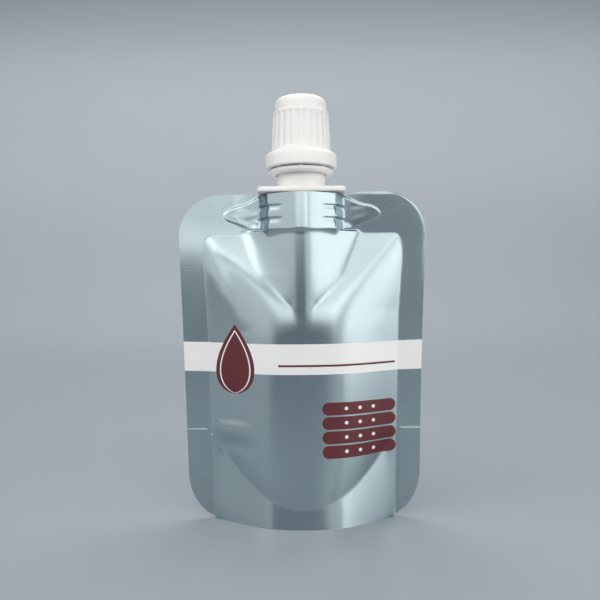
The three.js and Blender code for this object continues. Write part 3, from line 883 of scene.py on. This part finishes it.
def flange_mesh():
    """The flange: a rectangle with round corners, swept up its rounded edge; each level of the edge is
    inset evenly, and the middle of each face is one point on the axis."""
    turn = (np.arange(FLANGE_SIDES) + 0.5) / FLANGE_SIDES * 2 * math.pi
    bend = np.linspace(0, math.pi / 2, FLANGE_EDGE_STEPS)
    inset = FLANGE_ROUND * np.concatenate([1 - np.sin(bend), 1 - np.cos(bend)])
    rise = FLANGE_ROUND * (1 - np.cos(bend))
    level = np.concatenate([FLANGE_BOTTOM + rise, FLANGE_TOP - rise[::-1]])
    inset = inset[:, None]
    corner_x = (FLANGE_HALF_WIDTH - FLANGE_CORNER) * np.sign(np.cos(turn))
    corner_y = (FLANGE_HALF_DEPTH - FLANGE_CORNER) * np.sign(np.sin(turn))
    x = corner_x + (FLANGE_CORNER - inset) * np.cos(turn)
    y = corner_y + (FLANGE_CORNER - inset) * np.sin(turn)
    z = level[:, None] + 0 * x
    shrink = np.array([0, FLANGE_INNER_SHARE])[:, None]
    x = np.concatenate([x[:1] * shrink, x, x[-1:] * shrink[::-1]])
    y = np.concatenate([y[:1] * shrink, y, y[-1:] * shrink[::-1]])
    z = np.concatenate([z[:1], z[:1], z, z[-1:], z[-1:]])
    points = np.stack([x, y, z], axis=-1)
    return closed_mesh("spout_flange", points, grid_faces(*x.shape, wrap_columns=True))


add_piece("spout_flange", flange_mesh(), white_plastic, "filled_pouch", "spout")


def wings_mesh():
    """The two wings: a flat rounded section, a power ellipse, carried from tip to tip; its height and depth
    shrink towards the tips, where it closes, and it bends nearly as far as the seal."""
    turn = np.linspace(0, 2 * math.pi, WING_BODY_SIDES, endpoint=False)
    x = WING_TIP * np.sin(np.linspace(-math.pi / 2, math.pi / 2, WING_BODY_STEPS))[:, None]
    out = np.abs(x) / WING_TIP
    half_height = WING_BODY_HALF_HEIGHT * np.sqrt(np.clip(1 - out**WING_BODY_HEIGHT_POWER, 0, 1))
    half_depth = WING_BODY_HALF_DEPTH - WING_BODY_TAPER * out
    half_depth = half_depth * np.sqrt(np.clip(1 - out**WING_BODY_DEPTH_POWER, 0, 1))
    y = half_depth * np.sign(np.cos(turn)) * np.abs(np.cos(turn)) ** WING_BODY_SECTION_POWER
    z = half_height * np.sign(np.sin(turn)) * np.abs(np.sin(turn)) ** WING_BODY_SECTION_POWER
    z = WELD_MIDDLE + z
    x = x + 0 * y
    y = y + WING_LEAN * film_bend(x, z)
    points = np.stack([x, y, z], axis=-1)
    return closed_mesh("spout_wings", points, grid_faces(*x.shape, wrap_columns=True))


add_piece("spout_wings", wings_mesh(), white_plastic, "filled_pouch", "spout")


# Tamper ring: a narrow bevelled band moulded with the cap, left below it on the neck by the bead. Short
# bridges that stand on it tie it to the cap until the first turn tears them.
RING_LOW, RING_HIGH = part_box("tamper_ring")
RING_RADIUS = RING_HIGH.x
RING_INSIDE = 6.04 * MM
RING_BEVEL = 0.5 * MM
RING_ROUND = 0.18 * MM
RING_SPACING = 0.2 * MM
RING_SIDES = 192
RING_TOP_BAND = 0.01 * MM
BRIDGE_COUNT = 8
BRIDGE_PITCH = 2 * math.pi / BRIDGE_COUNT
BRIDGE_INSET = 0.45 * MM
BRIDGE_RADIUS = RING_RADIUS - BRIDGE_INSET
BRIDGE_HALF = 0.3 * MM
BRIDGE_END_STEP = 0.2 * MM
BRIDGE_HALF_DEPTH = 0.4 * MM
BRIDGE_SIDE_STEP = 0.15 * MM
BRIDGE_HEIGHT = 0.26 * MM

ring_corners = [
    (RING_INSIDE, RING_LOW.z),
    (RING_RADIUS - RING_BEVEL, RING_LOW.z),
    (RING_RADIUS, RING_LOW.z + RING_BEVEL),
    (RING_RADIUS, RING_HIGH.z),
    (RING_INSIDE, RING_HIGH.z),
]
ring_radius, ring_height = rounded_profile(ring_corners, RING_ROUND, RING_SPACING, True)
ring_turn = np.linspace(0, 2 * math.pi, RING_SIDES, endpoint=False)
from_bridge = np.abs((ring_turn / BRIDGE_PITCH + 0.5) % 1 - 0.5) * BRIDGE_PITCH * BRIDGE_RADIUS
on_bridge = np.clip((BRIDGE_HALF - from_bridge) / BRIDGE_END_STEP + 0.5, 0, 1)
from_middle = np.abs(ring_radius - BRIDGE_RADIUS)
near_middle = np.clip((BRIDGE_HALF_DEPTH - from_middle) / BRIDGE_SIDE_STEP, 0, 1)
on_top = near_middle * (ring_height > RING_HIGH.z - RING_TOP_BAND)
ring_rise = BRIDGE_HEIGHT * on_top[:, None] * on_bridge
ring_mesh = turned_mesh(
    "ring_band", ring_radius[:, None] + 0 * ring_rise, ring_height[:, None] + ring_rise, True
)
add_piece("ring_band", ring_mesh, white_plastic, "ring", "tamper_ring")


# Screw cap: one moulding of the same plastic. A wide collar carries a tapered grip with shallow upright
# flutes and a domed crown; inside are a thread that matches the neck's and a plug that closes the bore.
CAP_LOW, CAP_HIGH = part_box("cap")
COLLAR_RADIUS = CAP_HIGH.x
COLLAR_HEIGHT = 3.9 * MM
COLLAR_TOP = CAP_LOW.z + COLLAR_HEIGHT
COLLAR_BEVEL = 0.75 * MM
COLLAR_LEDGE = 0.5 * MM
GRIP_FOOT = 7.21 * MM
GRIP_HEAD = 6.75 * MM
GRIP_HEIGHT = 9.7 * MM
GRIP_TOP = COLLAR_TOP + GRIP_HEIGHT
CROWN_FOOT = 6.28 * MM
CROWN_SIDE = 6.13 * MM
CROWN_DOME = 0.2 * MM
CAP_INSIDE = 6.05 * MM
CAP_SHOULDER = 0.8 * MM
CAP_RECESS = 6.99 * MM
CAP_RECESS_HEIGHT = 2.1 * MM
CAP_RECESS_TOP = CAP_LOW.z + CAP_RECESS_HEIGHT
CAP_RECESS_CHAMFER = 0.9 * MM
CROWN_INSIDE = 5.3 * MM
CEILING_THICKNESS = 1.2 * MM
CEILING = CAP_HIGH.z - CEILING_THICKNESS
CEILING_CHAMFER = 0.6 * MM
CEILING_CHAMFER_HEIGHT = 1.6 * MM
PLUG_RADIUS = 4 * MM
PLUG_INSIDE = 3.1 * MM
PLUG_REACH = 2.2 * MM
PLUG_BOTTOM = LIP_TOP - PLUG_REACH
CAP_ROUND = 0.2 * MM
COLLAR_FOOT_ROUND = 0.4 * MM
COLLAR_HEAD_ROUND = 0.7 * MM
COLLAR_LEDGE_ROUND = 0.5 * MM
GRIP_FOOT_ROUND = 0.3 * MM
GRIP_HEAD_ROUND = 0.4 * MM
CROWN_FOOT_ROUND = 0.3 * MM
CROWN_ROUND = 2.6 * MM
CAP_SPACING = 0.3 * MM
CAP_SIDES = 192
FLUTE_COUNT = 24
FLUTE_DEPTH = 0.26 * MM
FLUTE_WALL = 0.9 * MM
FLUTE_FOOT = 0.3 * MM
FLUTE_FOOT_RUN = 0.9 * MM
FLUTE_HEAD = 0.35 * MM
FLUTE_HEAD_RUN = 0.6 * MM
CAP_THREAD_SHARE = 0.85
CAP_THREAD_PHASE = 0.5
CAP_WALL_BAND = 0.02 * MM

# Each corner of the profile: its radius, its height and its round
cap_corners = np.array([
    (0, CEILING, CAP_ROUND),
    (PLUG_INSIDE, CEILING, CAP_ROUND),
    (PLUG_INSIDE, PLUG_BOTTOM, CAP_ROUND),
    (PLUG_RADIUS, PLUG_BOTTOM, CAP_ROUND),
    (PLUG_RADIUS, CEILING, CAP_ROUND),
    (CROWN_INSIDE - CEILING_CHAMFER, CEILING, CAP_ROUND),
    (CROWN_INSIDE, CEILING - CEILING_CHAMFER_HEIGHT, CAP_ROUND),
    (CROWN_INSIDE, THREAD_TOP + 2 * CAP_SHOULDER, CAP_ROUND),
    (CAP_INSIDE, THREAD_TOP + CAP_SHOULDER, CAP_ROUND),
    (CAP_INSIDE, CAP_RECESS_TOP + CAP_RECESS_CHAMFER, CAP_ROUND),
    (CAP_RECESS, CAP_RECESS_TOP, CAP_ROUND),
    (CAP_RECESS, CAP_LOW.z, CAP_ROUND),
    (COLLAR_RADIUS, CAP_LOW.z, COLLAR_FOOT_ROUND),
    (COLLAR_RADIUS, COLLAR_TOP - COLLAR_BEVEL, COLLAR_HEAD_ROUND),
    (GRIP_FOOT + COLLAR_LEDGE, COLLAR_TOP, COLLAR_LEDGE_ROUND),
    (GRIP_FOOT, COLLAR_TOP, GRIP_FOOT_ROUND),
    (GRIP_HEAD, GRIP_TOP, GRIP_HEAD_ROUND),
    (CROWN_FOOT, GRIP_TOP, CROWN_FOOT_ROUND),
    (CROWN_SIDE, CAP_HIGH.z - CROWN_DOME, CROWN_ROUND),
    (0, CAP_HIGH.z, CAP_ROUND),
])
cap_radius, cap_height = rounded_profile(cap_corners[:, :2], cap_corners[:, 2], CAP_SPACING, False)
cap_turn = np.linspace(0, 2 * math.pi, CAP_SIDES, endpoint=False)
outside = cap_radius > CROWN_INSIDE + FLUTE_WALL
up_grip = share_of(cap_height, COLLAR_TOP + FLUTE_FOOT, FLUTE_FOOT_RUN)
down_grip = np.clip((GRIP_TOP - FLUTE_HEAD - cap_height) / FLUTE_HEAD_RUN, 0, 1)
flute_reach = (FLUTE_DEPTH * outside * up_grip * down_grip)[:, None]
flutes = flute_reach * (1 - np.cos(cap_turn * FLUTE_COUNT)) / 2
inner_wall = (np.abs(cap_radius - CAP_INSIDE) < CAP_WALL_BAND)[:, None]
cap_ridge = thread_ridge(cap_turn, cap_height[:, None], CAP_THREAD_PHASE)
cap_thread = cap_ridge * inner_wall * CAP_THREAD_SHARE
cap_mesh = turned_mesh(
    "screw_cap_moulding", cap_radius[:, None] - flutes - cap_thread, cap_height[:, None], False
)
add_piece("screw_cap_moulding", cap_mesh, white_plastic, "screw_cap", "cap")


# Studio: a plain pale floor that sweeps up into a backdrop, soft boxes above, in front, at both sides,
# behind and on the backdrop, and a level camera in front of the pouch, rolled a little.
FLOOR_PALE = (0.315, 0.355, 0.40, 1)
FLOOR_SHADE = (0.30, 0.34, 0.385, 1)
SWEEP_HALF_WIDTH = 2.5
SWEEP_FRONT = -2
SWEEP_BACK = 0.9
SWEEP_RADIUS = 0.5
SWEEP_TOP = 1.6
SWEEP_STEPS = 24
FLOOR_CLOUD = (6.0, 2.0)
FLOOR_ROUGHNESS = 0.35
LAMP_COLOUR = (1, 0.96, 0.89)
WORLD_COLOUR = (0.115, 0.15, 0.19, 1)
CAMERA_PLACE = (-0.0006, -0.17, 0.0525)
CAMERA_ROLL = 0.55  # degrees
CAMERA_SENSOR = 36
CAMERA_LENS = 42
CAMERA_NEAR = 0.01


def sweep_mesh():
    """Floor and backdrop: a straight run, a quarter circle and an upright, drawn across the studio."""
    bend = np.linspace(0, math.pi / 2, SWEEP_STEPS)
    curve = SWEEP_BACK + SWEEP_RADIUS * np.sin(bend)
    y = np.concatenate([[SWEEP_FRONT], curve, [SWEEP_BACK + SWEEP_RADIUS]])
    z = np.concatenate([[0], SWEEP_RADIUS * (1 - np.cos(bend)), [SWEEP_TOP]])
    x = np.array([-SWEEP_HALF_WIDTH, SWEEP_HALF_WIDTH])
    points = np.stack(np.broadcast_arrays(x[None, :], y[:, None], z[:, None]), axis=-1)
    mesh = bpy.data.meshes.new("floor")
    mesh.from_pydata(points.reshape(-1, 3).tolist(), [], grid_faces(*points.shape[:2]).tolist())
    mesh.shade_smooth()
    return mesh


floor_paper, floor_shader, floor_start = new_finish("floor_paper")
floor_start.noise(*FLOOR_CLOUD).blend(FLOOR_PALE, FLOOR_SHADE).feed(floor_shader, "Base Color")
floor_shader.inputs["Roughness"].default_value = FLOOR_ROUGHNESS
floor = bpy.data.objects.new("floor", sweep_mesh())
floor.data.materials.append(floor_paper)
bpy.context.scene.collection.objects.link(floor)


def soft_box(name, azimuth, elevation, distance, width, height, brightness, aim=0):
    """A rectangular soft box in a direction from the middle of the pouch, or from a place behind it, turned
    towards that. The azimuth runs from the front to the right, and the power follows from the brightness
    and the area."""
    light = bpy.data.lights.new(name, "AREA")
    light.shape = "RECTANGLE"
    light.size = width
    light.size_y = height
    light.color = LAMP_COLOUR
    light.energy = brightness * math.pi * width * height
    lamp = bpy.data.objects.new(name, light)
    azimuth = math.radians(azimuth)
    elevation = math.radians(elevation)
    level = distance * math.cos(elevation)
    rise = distance * math.sin(elevation)
    lamp.location = (level * math.sin(azimuth), aim - level * math.cos(azimuth), FILM_HEIGHT / 2 + rise)
    lamp.rotation_euler = (math.pi / 2 - elevation, 0, azimuth)
    lamp.visible_camera = False
    bpy.context.scene.collection.objects.link(lamp)


# Each soft box: azimuth and elevation in degrees, distance, width and height in metres, and brightness
soft_box("box_above", -20, 50, 0.8, 1.5, 0.5, 1.75)
soft_box("box_front", 0, 19, 1, 1.2, 0.27, 2)
soft_box("box_right", 60, 14, 0.8, 0.6, 0.5, 2.25)
soft_box("box_inner", 30, 14, 0.8, 0.28, 0.5, 0.7)
soft_box("box_side", 92, 4, 0.8, 0.34, 0.2, 2.1)
soft_box("box_left", -62, 26, 0.9, 1, 0.85, 1.05)
soft_box("box_behind", 165, 60, 0.9, 1.1, 0.6, 3)
soft_box("box_backdrop", 0, 48, 0.75, 2.4, 0.5, 2.2, aim=SWEEP_BACK + SWEEP_RADIUS)

world = bpy.data.worlds.new("studio")
world.use_nodes = True
world.node_tree.nodes["Background"].inputs["Color"].default_value = WORLD_COLOUR
world.node_tree.nodes["Background"].inputs["Strength"].default_value = 1
bpy.context.scene.world = world

camera_data = bpy.data.cameras.new("camera")
camera_data.sensor_width = CAMERA_SENSOR
camera_data.lens = CAMERA_LENS
camera_data.clip_start = CAMERA_NEAR
camera = bpy.data.objects.new("camera", camera_data)
camera.location = CAMERA_PLACE
camera.rotation_euler = (math.pi / 2, math.radians(CAMERA_ROLL), 0)
bpy.context.scene.collection.objects.link(camera)
bpy.context.scene.camera = camera
bpy.context.scene.view_settings.view_transform = "Standard"
